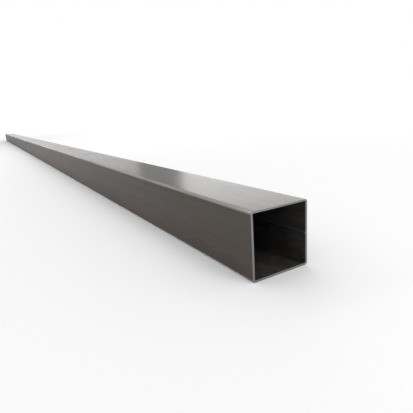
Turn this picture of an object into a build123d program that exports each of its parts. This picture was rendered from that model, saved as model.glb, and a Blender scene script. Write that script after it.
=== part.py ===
from build123d import *

import os

# A welded square steel tube: one straight mill length, cold formed from strip and seam welded.
# Millimetres, +Z up. The tube lies on its bottom face with its length along Y, and the origin is
# the middle of that face. The seam is in the right-hand wall (+X).

# Driving dimensions
side = 100.0  # outside width and height of the section
wall = 3.0  # thickness of the strip
bend_inside_radius = 1.8  # inside radius of the four formed corners
length = 6000.0  # one mill length
seam_bead_width = 4.0  # weld flash left on the inside, measured across the seam
seam_bead_height = 1.0  # how far the flash stands off the wall
seam_toe_radius = 0.6  # where the flash flows into the wall
seam_offset = 0.0  # height of the seam above the middle of its wall
end_edge_break = 0.3  # the sawn ends are deburred, inside and outside

# Worked out from them
bore = side - 2 * wall
bend_outside_radius = bend_inside_radius + wall
seam_root = bore / 2 + wall / 2  # the flash's profile closes in the middle of the wall

# The section is drawn as seen from the front end, about its own centre
section_plane = Plane(origin=(0, 0, side / 2), x_dir=(1, 0, 0), z_dir=(0, -1, 0))

with BuildPart() as tube:
    with BuildSketch(section_plane) as section:
        RectangleRounded(side, side, bend_outside_radius)
        RectangleRounded(bore, bore, bend_inside_radius, mode=Mode.SUBTRACT)

        # Weld flash: a low crown along the inside of the seam
        toe_low = (bore / 2, seam_offset - seam_bead_width / 2)
        toe_high = (bore / 2, seam_offset + seam_bead_width / 2)
        with BuildLine():
            ThreePointArc(toe_low, (bore / 2 - seam_bead_height, seam_offset), toe_high)
            Polyline(toe_high, (seam_root, toe_high[1]), (seam_root, toe_low[1]), toe_low)
        make_face()
        toes = [section.vertices().sort_by_distance(toe)[0] for toe in (toe_low, toe_high)]
        fillet(toes, seam_toe_radius)

    # Half of the mill length each way from the section
    extrude(amount=length / 2, both=True)

    # Deburr every edge of the two sawn faces
    sawn_faces = tube.faces().filter_by(Axis.Y)
    chamfer(sawn_faces.edges(), end_edge_break)

tube.part.label = "square_tube"

os.makedirs("parts", exist_ok=True)
export_step(tube.part, "parts/square_tube.step")
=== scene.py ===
"""The finish of one mill length of welded square steel tube, lying on a pale studio floor."""

import math

import bpy
from mathutils import Matrix, Vector


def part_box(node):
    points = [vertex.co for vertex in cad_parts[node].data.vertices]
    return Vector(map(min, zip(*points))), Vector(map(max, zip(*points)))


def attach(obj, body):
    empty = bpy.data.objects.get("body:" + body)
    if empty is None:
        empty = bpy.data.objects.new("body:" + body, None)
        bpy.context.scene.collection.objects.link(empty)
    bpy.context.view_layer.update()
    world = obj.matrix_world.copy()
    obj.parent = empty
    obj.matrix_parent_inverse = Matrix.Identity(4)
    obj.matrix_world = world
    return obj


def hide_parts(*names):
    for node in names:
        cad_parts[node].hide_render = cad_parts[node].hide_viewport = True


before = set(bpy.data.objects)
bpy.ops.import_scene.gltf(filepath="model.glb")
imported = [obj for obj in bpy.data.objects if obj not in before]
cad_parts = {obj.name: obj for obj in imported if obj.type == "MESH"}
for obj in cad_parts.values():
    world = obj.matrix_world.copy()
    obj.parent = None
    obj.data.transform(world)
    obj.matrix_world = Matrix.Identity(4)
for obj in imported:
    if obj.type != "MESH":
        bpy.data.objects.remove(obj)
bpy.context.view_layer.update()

MM = 0.001

# The tube, in metres. Its side and ends come from the frame; the rest repeats the section.
lowest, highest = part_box("square_tube")
SIDE = highest.x - lowest.x
FRONT, REAR = lowest.y, highest.y
LENGTH = REAR - FRONT
WALL = 3 * MM
BEND_RADIUS = 4.8 * MM  # outside of the formed corners
EDGE_BREAK = 0.3 * MM
BEAD_WIDTH = 4 * MM
BEAD_HEIGHT = 1 * MM
SCARF_WIDTH = 7 * MM  # strip planed flush over the seam, outside
SCARF_DEPTH = 0.08 * MM
WALL_DISH = 0.15 * MM  # cold forming leaves the walls a little hollow
WALL_WAVE = 0.12 * MM  # and slightly uneven along the tube


def add_object(name, data):
    thing = bpy.data.objects.new(name, data)
    bpy.context.scene.collection.objects.link(thing)
    return thing


class Wire:
    """An output of a node. Python's operators on it add Math nodes to the same tree."""

    def __init__(self, tree, socket):
        self.tree = tree
        self.socket = socket

    def __getitem__(self, name):
        return Wire(self.tree, self.socket.node.outputs[name])

    def __add__(self, other):
        return self.tree.math("ADD", self, other)

    def __sub__(self, other):
        return self.tree.math("SUBTRACT", self, other)

    def __rsub__(self, other):
        return self.tree.math("SUBTRACT", other, self)

    def __mul__(self, other):
        return self.tree.math("MULTIPLY", self, other)

    def __truediv__(self, other):
        return self.tree.math("DIVIDE", self, other)

    def __pow__(self, other):
        return self.tree.math("POWER", self, other)

    def __gt__(self, other):
        return self.tree.math("GREATER_THAN", self, other)

    def __lt__(self, other):
        return self.tree.math("LESS_THAN", self, other)

    def __neg__(self):
        return self.tree.math("MULTIPLY", self, -1.0)

    def __abs__(self):
        return self.tree.math("ABSOLUTE", self)

    __radd__ = __add__
    __rmul__ = __mul__


class Tree:
    """A shader or geometry node tree that is written as expressions on its wires."""

    def __init__(self, group):
        self.group = group

    def add(self, kind, sockets=None, output=0, **settings):
        """A node of this type, its settings made first, then its sockets' values or links."""
        node = self.group.nodes.new(kind)
        for name, value in settings.items():
            setattr(node, name, value)
        for name, value in (sockets or {}).items():
            if isinstance(value, Wire):
                self.group.links.new(value.socket, node.inputs[name])
            else:
                node.inputs[name].default_value = value
        return Wire(self, node.outputs[output]) if node.outputs else None

    def math(self, operation, *values):
        return self.add("ShaderNodeMath", dict(enumerate(values)), operation=operation)

    def larger(self, first, second):
        return self.math("MAXIMUM", first, second)

    def axes(self, vector):
        return self.add("ShaderNodeSeparateXYZ", {"Vector": vector})

    def point(self, x=0.0, y=0.0, z=0.0):
        return self.add("ShaderNodeCombineXYZ", {"X": x, "Y": y, "Z": z})

    def ramp(self, value, low, high, start=0.0, end=1.0, smooth=False):
        """value's way from low to high, as a number from start to end."""
        return self.add(
            "ShaderNodeMapRange",
            {"Value": value, "From Min": low, "From Max": high, "To Min": start, "To Max": end},
            interpolation_type="SMOOTHSTEP" if smooth else "LINEAR",
        )

    def mottle(self, place, scale=1.0, detail=2.0, rough=0.5):
        """Noise with this many features to the metre."""
        sockets = {"Vector": place, "Scale": scale, "Detail": detail, "Roughness": rough}
        return self.add("ShaderNodeTexNoise", sockets)

    def wander(self, distance, scale=1.0, detail=0.0):
        """Noise that changes with one distance only."""
        sockets = {"W": distance, "Scale": scale, "Detail": detail}
        return self.add("ShaderNodeTexNoise", sockets, noise_dimensions="1D")

    def mix(self, share, first, second):
        """A colour that goes from first to second. A Mix node's colour sockets share their names
        with its others, so they are given by number."""
        first, second = (c if isinstance(c, Wire) else (*c, 1.0) for c in (first, second))
        sockets = {0: share, 6: first, 7: second}
        return self.add("ShaderNodeMix", sockets, output=2, data_type="RGBA")


# ---------------------------------------------------------------- finishes

BARE_AND_HIGHLIT_STEEL = (0.40, 0.385, 0.37)  # skin rubbed or scratched through; also the painted edge highlights


def new_material(name):
    material = bpy.data.materials.new(name)
    material.use_nodes = True
    material.node_tree.nodes.clear()
    return material, Tree(material.node_tree)


def steel(tree, colour, metallic, rough, height, depth, specular=0.5):
    """Ends a material in steel whose surface is bumped by the height, to this depth."""
    bump = tree.add("ShaderNodeBump", {"Height": height, "Distance": depth})
    sockets = {
        "Base Color": colour,
        "Metallic": metallic,
        "Roughness": rough,
        "Specular IOR Level": specular,
        "Normal": bump,
    }
    shader = tree.add("ShaderNodeBsdfPrincipled", sockets)
    tree.add("ShaderNodeOutputMaterial", {"Surface": shader})


def drawn_out(tree, place, across, along, detail=2.0, rough=0.5):
    """Noise with this many features to the metre across the tube, and this many along it."""
    sockets = {0: place, 1: (across, along, across)}
    stretched = tree.add("ShaderNodeVectorMath", sockets, operation="MULTIPLY")
    return tree.mottle(stretched, detail=detail, rough=rough)


def hairlines(tree, axes, lean, spacing, run, share):
    """Straight fine scratches, about this far apart and this long, over this share of the skin."""
    face = axes["X"] + axes["Z"]
    across = face + axes["Y"] * lean

    # A line runs where the noise crosses its middle; two more noises break it and gather it
    line = tree.ramp(abs(tree.wander(across / spacing) - 0.5), 0.012, 0.0)
    broken = tree.mottle(tree.point(across * 3 / spacing, axes["Y"] / run), detail=1.0)
    gathered = tree.mottle(tree.point(face * 14, axes["Y"] * 2.5), detail=1.0)
    edge = 0.66 - share / 2
    return line * (tree.ramp(broken, 0.56, 0.66) * tree.ramp(gathered, edge - 0.04, edge + 0.04))


def handling_scratches(tree, axes):
    """1 in the fine scratches: most run along the tube, and a few lean or cross it."""
    drawn = hairlines(tree, axes, lean=0.006, spacing=2 * MM, run=120 * MM, share=0.4)
    leaning = hairlines(tree, axes, lean=0.09, spacing=7 * MM, run=45 * MM, share=0.3)
    crossing = hairlines(tree, axes, lean=-0.6, spacing=16 * MM, run=20 * MM, share=0.2)
    return tree.larger(drawn, tree.larger(leaning, crossing * 0.8))


def worn_and_highlit_corners(tree, place, axes):
    """1 where the formed corners have rubbed on rolls and on other tubes: worn steel, and a painted
    highlight along all four corners.
    """
    out_and_up = abs(axes["X"]) + abs(axes["Z"] - SIDE / 2)
    bend_start = SIDE - BEND_RADIUS
    bend_middle = SIDE - BEND_RADIUS * (2 - math.sqrt(2))
    corner = tree.ramp(out_and_up, bend_start, bend_middle, smooth=True)
    return corner * tree.ramp(drawn_out(tree, place, across=70, along=5, detail=4.0), 0.2, 0.5)


def worn_and_highlit_ends(tree, place, axes, reach):
    """1 at the sharp edge of each cut end, ragged, and 0 past this reach from it: worn steel, and a
    painted highlight on the rim.
    """
    inset = LENGTH / 2 - abs(axes["Y"]) + (tree.mottle(place, scale=500) - 0.5) * reach
    return tree.ramp(inset, reach, 0.0, smooth=True)


def seam_distance(tree, place, axes, across, along, raggedness):
    """Distance from the seam's line on the +X wall, ragged, and a metre more on the other walls."""
    elsewhere = axes["X"] < SIDE / 2 - 2 * WALL
    ragged = (drawn_out(tree, place, across, along) - 0.5) * raggedness
    return abs(axes["Z"] - SIDE / 2) + elsewhere + ragged


def planed_seam(tree, place, axes, lines, blotches):
    """The weld outside: where it is blued, where planed, the planed steel and its tool's chatter."""
    seam = seam_distance(tree, place, axes, across=400, along=12, raggedness=1.2 * MM)
    heat = tree.ramp(seam, 15 * MM, 5 * MM, smooth=True)
    strip = tree.ramp(seam, SCARF_WIDTH * 0.5, SCARF_WIDTH * 0.45)
    chatter_pitch = 3.5 * MM
    turn = axes["Y"] * (2 * math.pi / chatter_pitch) + (blotches - 0.5) * 30
    chatter = tree.math("SINE", turn) * 0.5 + 0.5
    planed_light, planed_dark = (0.26, 0.252, 0.245), (0.15, 0.145, 0.142)
    shade = lines * 0.6 + chatter * 0.15 + (blotches - 0.5) * 0.9
    return heat, strip, tree.mix(shade, planed_light, planed_dark), chatter


def rolled_skin():
    """The outside: dark grey and satin, drawn out in streaks, with rubbed corners and a seam. Its
    rubbed corners and cut edges are also painted highlights.
    """
    material, tree = new_material("rolled_skin")
    place = tree.add("ShaderNodeTexCoord", output="Object")
    axes = tree.axes(place)

    # The skin itself, from a slow drift and the rolls' bands down to fine lines and orange peel
    drift = drawn_out(tree, place, across=5, along=0.9)
    bands = drawn_out(tree, place, across=55, along=0.35)
    blotches = drawn_out(tree, place, across=20, along=6, detail=5.0, rough=0.6)
    streaks = drawn_out(tree, place, across=260, along=1.8, detail=3.0, rough=0.6)
    lines = drawn_out(tree, place, across=1100, along=6)
    peel = tree.mottle(place, scale=700)

    warm, cool = (0.0940, 0.0795, 0.0715), (0.0845, 0.0820, 0.0725)
    roll_mark, blotch = (0.112, 0.099, 0.091), (0.058, 0.051, 0.046)
    streak, groove = (0.135, 0.121, 0.112), (0.040, 0.035, 0.032)
    colour = tree.mix(tree.ramp(drift, 0.42, 0.6, smooth=True), warm, cool)
    colour = tree.mix(tree.ramp(bands, 0.45, 0.65) * 0.3, colour, roll_mark)
    colour = tree.mix(tree.ramp(blotches, 0.5, 0.75) * 0.35, colour, blotch)
    colour = tree.mix(tree.ramp(streaks, 0.5, 0.72) * 0.3, colour, streak)
    colour = tree.mix(tree.ramp(lines, 0.48, 0.3) * 0.3, colour, groove)
    rough = 0.24 + (bands - 0.5) * 0.05 + (blotches - 0.5) * 0.04 + (lines - 0.5) * 0.05
    height = streaks * 0.35 + lines * 0.4 + peel * 0.25

    # The weld: blued steel each side of a strip planed bright
    blued = (0.043, 0.049, 0.062)
    heat, strip, planed, chatter = planed_seam(tree, place, axes, lines, blotches)
    colour = tree.mix(heat * 0.6, colour, blued)
    colour = tree.mix(strip * 0.85, colour, planed)
    height = height + strip * (chatter - 0.5) * 0.3

    # Handling: rubbed corners, a bright edge at the cuts, and fine scratches. The corners and cut edges
    # are lighter partly as painted highlights
    corners = worn_and_highlit_corners(tree, place, axes)
    ends = worn_and_highlit_ends(tree, place, axes, reach=1.2 * MM)
    scratches = handling_scratches(tree, axes)
    # Bare steel where rubbed or scratched, and painted highlights along the corners and cut edges
    bare_and_highlit = tree.larger(tree.larger(corners * 0.6, ends * 0.5), scratches * 0.25)
    colour = tree.mix(bare_and_highlit, colour, BARE_AND_HIGHLIT_STEEL)

    steel(
        tree,
        colour=colour,
        metallic=0.35 + (bare_and_highlit + strip) * 0.45,
        rough=rough - corners * 0.08,
        height=height - scratches * 0.25,
        depth=0.028 * MM,
        specular=0.0,
    )
    return material


def sawn_face():
    """The cut ends: bare and lighter, ruled by the saw's teeth in shallow arcs."""
    material, tree = new_material("sawn_face")
    place = tree.add("ShaderNodeTexCoord", output="Object")
    axes = tree.axes(place)

    # Arcs about the middle of the blade, which came up through the tube from below its left side
    blade_radius, blade_left, blade_drop = 0.22, 0.06, 0.19
    reach = tree.math("SQRT", (axes["X"] + blade_left) ** 2 + (axes["Z"] + blade_drop) ** 2)
    swing = reach - blade_radius + (tree.mottle(place, scale=50) - 0.5) * 1.2 * MM
    teeth = tree.mottle(tree.point(swing), scale=1500, detail=3.0, rough=0.7)
    smear = tree.mottle(place, scale=160, detail=4.0, rough=0.6)

    torn, cut, smeared = (0.18, 0.175, 0.17), (0.32, 0.314, 0.307), (0.16, 0.15, 0.141)
    colour = tree.mix(tree.ramp(teeth, 0.3, 0.7), torn, cut)
    colour = tree.mix(tree.ramp(smear, 0.5, 0.75) * 0.35, colour, smeared)
    rough = 0.4 + (smear - 0.5) * 0.2 + (teeth - 0.5) * 0.1
    steel(tree, colour, metallic=0.9, rough=rough, height=teeth, depth=0.06 * MM)
    return material


def bore_scale():
    """Inside: dull scale, with the weld flash blued and rippled along the seam."""
    material, tree = new_material("bore_scale")
    place = tree.add("ShaderNodeTexCoord", output="Object")
    axes = tree.axes(place)
    scale = drawn_out(tree, place, across=80, along=28, detail=6.0, rough=0.7)
    streaks = drawn_out(tree, place, across=220, along=2.0, detail=3.0)
    crust = tree.mottle(place, scale=900, detail=3.0)

    scale_dark, scale_light = (0.022, 0.020, 0.019), (0.058, 0.054, 0.051)
    streak, fleck = (0.085, 0.080, 0.075), (0.075, 0.068, 0.062)
    colour = tree.mix(tree.ramp(scale, 0.38, 0.64), scale_dark, scale_light)
    colour = tree.mix(tree.ramp(streaks, 0.5, 0.75) * 0.35, colour, streak)
    colour = tree.mix(tree.ramp(crust, 0.56, 0.7) * 0.4, colour, fleck)

    # The flash, with its ripples across it, in a band of blued steel
    seam = seam_distance(tree, place, axes, across=300, along=40, raggedness=1.5 * MM)
    heat = tree.ramp(seam, 13 * MM, 4 * MM, smooth=True)
    bead = tree.ramp(seam, BEAD_WIDTH * 0.6, BEAD_WIDTH * 0.45)
    ripples = drawn_out(tree, place, across=60, along=480)
    blued = (0.026, 0.031, 0.041)
    ripple_dark, ripple_light = (0.035, 0.036, 0.039), (0.10, 0.094, 0.088)
    colour = tree.mix(heat * 0.55, colour, blued)
    colour = tree.mix(bead * 0.7, colour, tree.mix(ripples, ripple_dark, ripple_light))

    # A lighter edge at the mouth: rubbed steel, and a painted highlight on the rim
    rubbed_and_highlit = worn_and_highlit_ends(tree, place, axes, reach=1.5 * MM)
    colour = tree.mix(rubbed_and_highlit * 0.5, colour, BARE_AND_HIGHLIT_STEEL)
    steel(
        tree,
        colour=colour,
        metallic=0.15,
        rough=0.55 + (scale - 0.5) * 0.2,
        height=scale * 0.4 + streaks * 0.2 + crust * 0.4 + ripples * bead * 2,
        depth=0.04 * MM,
        specular=0.2,
    )
    return material


# ---------------------------------------------------------------- the tube's mesh

ON_SIDE = 0.4995  # of an outline's width from its middle: on its side, rounding errors aside


class Sizes:
    """The named inputs of a geometry tree, each with its value for the modifier."""

    def __init__(self, tree, lengths, counts):
        self.values = {}
        for kind, group in (("NodeSocketFloat", lengths), ("NodeSocketInt", counts)):
            for name, value in group.items():
                socket = tree.group.interface.new_socket(name, in_out="INPUT", socket_type=kind)
                self.values[socket.identifier] = value
        self.outputs = tree.add("NodeGroupInput")

    def __getitem__(self, name):
        return self.outputs[name]


def moved(tree, geometry, **where):
    """The geometry with each point at a new Position, or shifted by an Offset."""
    return tree.add("GeometryNodeSetPosition", {"Geometry": geometry} | where)


def rounded_outline(tree, width, height, radius, corner_steps, cuts, crowd=None):
    """A closed outline about the origin of XY, its sides cut into strips, its corners rounded.
    crowd gives the strips' points new places along Y, before the rounding."""
    sockets = {"Width": width, "Height": height}
    outline = tree.add("GeometryNodeCurvePrimitiveQuadrilateral", sockets, mode="RECTANGLE")
    outline = tree.add("GeometryNodeSubdivideCurve", {"Curve": outline, "Cuts": cuts})
    axes = tree.axes(tree.add("GeometryNodeInputPosition"))
    if crowd:
        outline = moved(tree, outline, Position=tree.point(axes["X"], crowd(axes)))
    corner = (abs(axes["X"]) > width * ON_SIDE) * (abs(axes["Y"]) > height * ON_SIDE)
    sockets = {"Curve": outline, "Count": corner_steps, "Radius": radius * corner}
    return tree.add("GeometryNodeFilletCurve", sockets, mode="POLY")


def crowded(tree, place, reach, core, share):
    """place, from -reach to reach, moved so that this share of its even steps falls in the core."""
    distance = abs(place)
    edge = reach * share
    inside = tree.ramp(distance, 0.0, edge, 0.0, core)
    outside = tree.ramp(distance, edge, reach, 0.0, reach - core)
    return tree.math("SIGN", place) * (inside + outside)


def section_path(tree, size):
    """The section's outside, in XY. The strips of its last wall crowd round the seam."""
    side = size["Side"]
    seam_strips, wall_strips = size["Seam Strips"], size["Wall Strips"]
    last_wall = tree.add("GeometryNodeInputIndex") > 2.5
    cuts = wall_strips - 1 + (seam_strips - wall_strips) * last_wall

    def crowd(axes):
        on_seam_wall = axes["X"] > side * ON_SIDE
        near_seam = size["Scarf Width"] * 0.64  # a little past the planed strip's edge
        height = crowded(tree, axes["Y"], side / 2, core=near_seam, share=2 / 3)
        return axes["Y"] + (height - axes["Y"]) * on_seam_wall

    return rounded_outline(tree, side, side, size["Bend Radius"], size["Bend Steps"], cuts, crowd)


def wall_outline(tree, size):
    """The wall's outline: X out of the wall, with its outer skin on the path, and Y along the tube."""
    wall, length, end_strips = size["Wall"], size["Length"], size["End Strips"]
    index = tree.add("GeometryNodeInputIndex")
    odd_side = index - 2 * tree.math("FLOOR", index / 2)  # the two that run along the tube
    cuts = end_strips - 1 + (size["Length Strips"] - end_strips) * odd_side
    outline = rounded_outline(tree, wall, length, size["Edge Break"], size["Edge Steps"], cuts)
    return moved(tree, outline, Offset=tree.point(x=-wall / 2))


def wall_relief(tree, size):
    """How far each point moves from the plain section: the dished walls, the flash and the scarf."""
    side, past_break = size["Side"], size["Edge Break"] * 1.2
    axes = tree.axes(tree.add("GeometryNodeInputPosition"))
    across, along, height = axes["X"], axes["Y"], axes["Z"] - side / 2
    upright = abs(across) > abs(height)
    out_x = tree.math("SIGN", across) * upright
    out_z = tree.math("SIGN", height) * (1 - upright)
    depth = side / 2 - tree.larger(abs(across), abs(height))
    off_centre = tree.math("MINIMUM", abs(across), abs(height))

    # Each wall is a little hollow between its corners, by an amount that wanders along the tube
    flat = side / 2 - size["Bend Radius"]
    hollow = tree.larger(1 - (off_centre / flat) ** 2, 0.0)
    own_place = tree.point(out_x * 7, along, out_z * 7)  # a part of the noise for each wall
    wave = (tree.mottle(own_place, scale=2.2, rough=0.4) - 0.5) * 2
    dish = (size["Dish"] + size["Wave"] * wave) * hollow

    # The weld flash stands off the inner skin in the middle of the seam wall
    seam_wall = upright * (across > 0)
    inner_skin = depth > size["Wall"] - past_break
    bead_height, half_width = size["Bead Height"], size["Bead Width"] / 2
    crown_radius = (half_width**2 + bead_height**2) / (bead_height * 2)
    reach = tree.larger(crown_radius**2 - height**2, 0.0)
    crown = tree.math("SQRT", reach) - (crown_radius - bead_height)
    flash = tree.math("SMOOTH_MAX", crown, 0.0, bead_height * 0.3)
    surge = 1 + 0.3 * (tree.wander(along, scale=14, detail=1.0) - 0.5)
    flash = flash * surge * inner_skin * seam_wall

    # Outside, the flash is planed off in a strip a little below the wall
    outer_skin = depth < past_break
    strip_edge = size["Scarf Width"] / 2
    planed = tree.ramp(abs(height), strip_edge, strip_edge * 0.8, smooth=True)
    scarf = size["Scarf Depth"] * planed * outer_skin * seam_wall

    inward = dish + flash + scarf
    return tree.point(-out_x * inward, 0.0, -out_z * inward)


def on_face(tree, value, data_type="FLOAT"):
    """A value as it is in the middle of each face."""
    sockets = {"Value": value}
    return tree.add("GeometryNodeFieldOnDomain", sockets, domain="FACE", data_type=data_type)


def unrolled_map(tree, mesh, size, middle, inside, sawn):
    """The map for baked finishes: the skin and the bore unrolled along U, and both cut ends."""
    side, wall = size["Side"], size["Wall"]
    axes = tree.axes(tree.add("GeometryNodeInputPosition"))
    across, height = axes["X"], axes["Z"] - side / 2
    middle_across, middle_height = middle["X"], middle["Z"] - side / 2

    # Once round the section, from 0 to 1, one quarter to each wall
    upright = abs(middle_across) > abs(middle_height)
    slope = upright * height / across - (1 - upright) * across / height
    upright_wall = (middle_across < 0) * 2
    level_wall = (middle_height < 0) * 2 + 1
    wall_number = upright * upright_wall + (1 - upright) * level_wall
    around = (wall_number + slope / 2 + 0.5) / 4
    along = axes["Y"] / size["Length"] + 0.5
    depth = (side / 2 - tree.larger(abs(across), abs(height))) / wall

    # The skin takes the map's upper half, the bore a third below it, and each end a row of its own
    skin_row = tree.ramp(around, 0.0, 1.0, 0.44, 0.99)
    bore_row = tree.ramp(around, 0.0, 1.0, 0.42, 0.12)
    end_row = 0.02 + 0.05 * (middle["Y"] > 0) + 0.03 * depth
    u = tree.ramp(along + (around - along) * sawn, 0.0, 1.0, 0.005, 0.995)
    v = skin_row + (bore_row - skin_row) * inside
    v = v + (end_row - v) * sawn
    sockets = {"Geometry": mesh, "Name": "OFBake", "Value": tree.point(u, v)}
    return tree.add(
        "GeometryNodeStoreNamedAttribute", sockets, data_type="FLOAT2", domain="CORNER"
    )


def finished(tree, mesh, size):
    """The mesh with its map, and on each face the finish that it wears."""
    position = tree.add("GeometryNodeInputPosition")
    middle = tree.axes(on_face(tree, position, "FLOAT_VECTOR"))
    off_axis = tree.larger(abs(middle["X"]), abs(middle["Z"] - size["Side"] / 2))
    inside = size["Side"] / 2 - off_axis > size["Wall"] / 2
    facing = tree.axes(tree.add("GeometryNodeInputNormal"))
    sawn = abs(on_face(tree, facing["Y"])) > 0.3  # the cut faces with their broken edges
    mesh = unrolled_map(tree, mesh, size, middle, inside, sawn)
    mesh = tree.add("GeometryNodeRealizeInstances", {"Geometry": mesh})
    for material, faces in ((rolled_skin(), True), (bore_scale(), inside), (sawn_face(), sawn)):
        sockets = {"Geometry": mesh, "Selection": faces, "Material": material}
        mesh = tree.add("GeometryNodeSetMaterial", sockets)
    return mesh


def tube_tree():
    """The wall's long, thin outline swept round the section's outline: one closed skin."""
    tree = Tree(bpy.data.node_groups.new("square_tube", "GeometryNodeTree"))
    tree.group.interface.new_socket("Mesh", in_out="OUTPUT", socket_type="NodeSocketGeometry")
    lengths = {
        "Side": SIDE,
        "Length": LENGTH,
        "Wall": WALL,
        "Bend Radius": BEND_RADIUS,
        "Edge Break": EDGE_BREAK,
        "Bead Width": BEAD_WIDTH,
        "Bead Height": BEAD_HEIGHT,
        "Scarf Width": SCARF_WIDTH,
        "Scarf Depth": SCARF_DEPTH,
        "Dish": WALL_DISH,
        "Wave": WALL_WAVE,
    }
    counts = {
        "Wall Strips": 8,
        "Seam Strips": 24,
        "Length Strips": 240,
        "End Strips": 3,
        "Bend Steps": 8,
        "Edge Steps": 3,
    }
    size = Sizes(tree, lengths, counts)
    path, outline = section_path(tree, size), wall_outline(tree, size)
    mesh = tree.add("GeometryNodeCurveToMesh", {"Curve": path, "Profile Curve": outline})
    lying = {"Translation": tree.point(z=size["Side"] / 2), "Rotation": (math.pi / 2, 0, 0)}
    mesh = tree.add("GeometryNodeTransform", {"Geometry": mesh} | lying)
    mesh = moved(tree, mesh, Offset=wall_relief(tree, size))
    mesh = finished(tree, mesh, size)
    tree.add("NodeGroupOutput", {"Mesh": mesh})
    return tree, size.values


def build_tube():
    """The tree's mesh as a plain object, with nothing left live on it."""
    tree, values = tube_tree()
    piece = add_object("tube", bpy.data.meshes.new("tube"))
    rolled = piece.modifiers.new("rolled", "NODES")
    rolled.node_group = tree.group
    for identifier, value in values.items():
        rolled[identifier] = value
    shading = piece.modifiers.new("shading", "WEIGHTED_NORMAL")
    shading.weight = 50
    graph = bpy.context.evaluated_depsgraph_get()
    mesh = bpy.data.meshes.new_from_object(
        piece.evaluated_get(graph), preserve_all_data_layers=True, depsgraph=graph
    )
    piece.modifiers.clear()
    piece.data = mesh
    return piece


tube = build_tube()
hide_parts("square_tube")
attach(tube, "root")


# ---------------------------------------------------------------- studio

FRAME = 413  # the side of the render, in pixels
LENS = 31.73  # mm
CAMERA_YAW = math.radians(30.07)  # from along the tube towards +X
CAMERA_PITCH = math.radians(-14.62)
CAMERA_ROLL = math.radians(-4.01)
NEAR_END_AT = (281, 240)  # where the middle of the front end shows, in pixels
NEAR_END_DEPTH = 0.5  # metres in front of the camera

FLOOR_WHITE = 0.93
FLOOR_REACH = 60  # metres each way
FADE_START, FADE_END = 0.35, 2.0  # from the tube, where the floor turns into the backdrop
WORLD_LIGHT = 0.8  # of the white that the backdrop shows


def build_camera():
    """Looks along the tube from the left of its front end, which shows at its place in the frame."""
    data = bpy.data.cameras.new("camera")
    data.lens = LENS
    data.clip_start = 0.01
    camera = add_object("camera", data)
    bpy.context.scene.camera = camera
    turn = (
        Matrix.Rotation(-CAMERA_YAW, 3, "Z")
        @ Matrix.Rotation(math.pi / 2 + CAMERA_PITCH, 3, "X")
        @ Matrix.Rotation(CAMERA_ROLL, 3, "Z")
    )
    pixel = data.sensor_width / LENS / FRAME
    offset = Vector((NEAR_END_AT[0] - FRAME / 2, FRAME / 2 - NEAR_END_AT[1], 0)) * pixel
    sight = turn @ (offset + Vector((0, 0, -1))) * NEAR_END_DEPTH
    near_end = Vector((0, FRONT, SIDE / 2))
    camera.matrix_world = Matrix.Translation(near_end - sight) @ turn.to_4x4()


def seen_directly(tree):
    """1 for the rays that show the backdrop itself: straight to the camera, mirrored or let through."""
    light = tree.add("ShaderNodeLightPath")
    seen = tree.larger(light["Is Camera Ray"], light["Is Glossy Ray"])
    return tree.larger(seen, light["Is Transmission Ray"])


def build_floor():
    """A pale floor that takes the tube's shadow and fades to the white backdrop away from it."""
    material, tree = new_material("floor")
    axes = tree.axes(tree.add("ShaderNodeTexCoord", output="Object"))
    past_end = tree.larger(abs(axes["Y"]) - LENGTH / 2, 0.0)
    distance = tree.math("SQRT", axes["X"] ** 2 + past_end**2)
    away = tree.ramp(distance, FADE_START, FADE_END, smooth=True)
    grey = (FLOOR_WHITE, FLOOR_WHITE, FLOOR_WHITE, 1)
    lit = tree.add("ShaderNodeBsdfDiffuse", {"Color": grey})
    white = tree.add("ShaderNodeEmission", {"Color": (1, 1, 1, 1), "Strength": 1.0})
    mixed = {0: away * seen_directly(tree), 1: lit, 2: white}
    shader = tree.add("ShaderNodeMixShader", mixed)
    tree.add("ShaderNodeOutputMaterial", {"Surface": shader})
    mesh = bpy.data.meshes.new("floor")
    corners = ((-1, -1), (1, -1), (1, 1), (-1, 1))
    places = [(x * FLOOR_REACH, y * FLOOR_REACH, 0) for x, y in corners]
    mesh.from_pydata(places, [], [(0, 1, 2, 3)])
    mesh.materials.append(material)
    add_object("floor", mesh)


def build_world():
    world = bpy.data.worlds.new("studio")
    bpy.context.scene.world = world
    world.use_nodes = True
    world.node_tree.nodes.clear()
    tree = Tree(world.node_tree)
    strength = WORLD_LIGHT + (1 - WORLD_LIGHT) * seen_directly(tree)
    background = tree.add("ShaderNodeBackground", {"Color": (1, 1, 1, 1), "Strength": strength})
    tree.add("ShaderNodeOutputWorld", {"Surface": background})


def add_softbox(name, place, aim, size, radiance):
    """A rectangle of light as bright as this beside the white backdrop, facing the aim."""
    data = bpy.data.lights.new(name, "AREA")
    data.shape = "RECTANGLE"
    data.size, data.size_y = size
    data.energy = radiance * math.pi * size[0] * size[1]
    lamp = add_object(name, data)
    lamp.location = place
    lamp.rotation_euler = (Vector(aim) - Vector(place)).to_track_quat("-Z", "Y").to_euler()
    lamp.visible_camera = False


build_camera()
build_floor()
build_world()
add_softbox("overhead", place=(-0.4, 0, 2.8), aim=(0, 0, 0), size=(0.7, 7.5), radiance=2.0)
add_softbox(
    "rear_panel",
    place=(4.8, REAR + 0.2, 1.6),
    aim=(0, FRONT + 0.1, 0),
    size=(3.4, 2.0),
    radiance=4.0,
)
add_softbox(
    "far_panel",
    place=(2.0, REAR + 5, 1.0),
    aim=(2.0, 0, 0.4),
    size=(3.6, 1.8),
    radiance=2.5,
)
add_softbox(
    "front_fill",
    place=(0.5, FRONT - 1.6, 2.4),
    aim=(0, FRONT, SIDE / 2),
    size=(1.2, 1.2),
    radiance=4.0,
)
bpy.context.scene.view_settings.view_transform = "Standard"
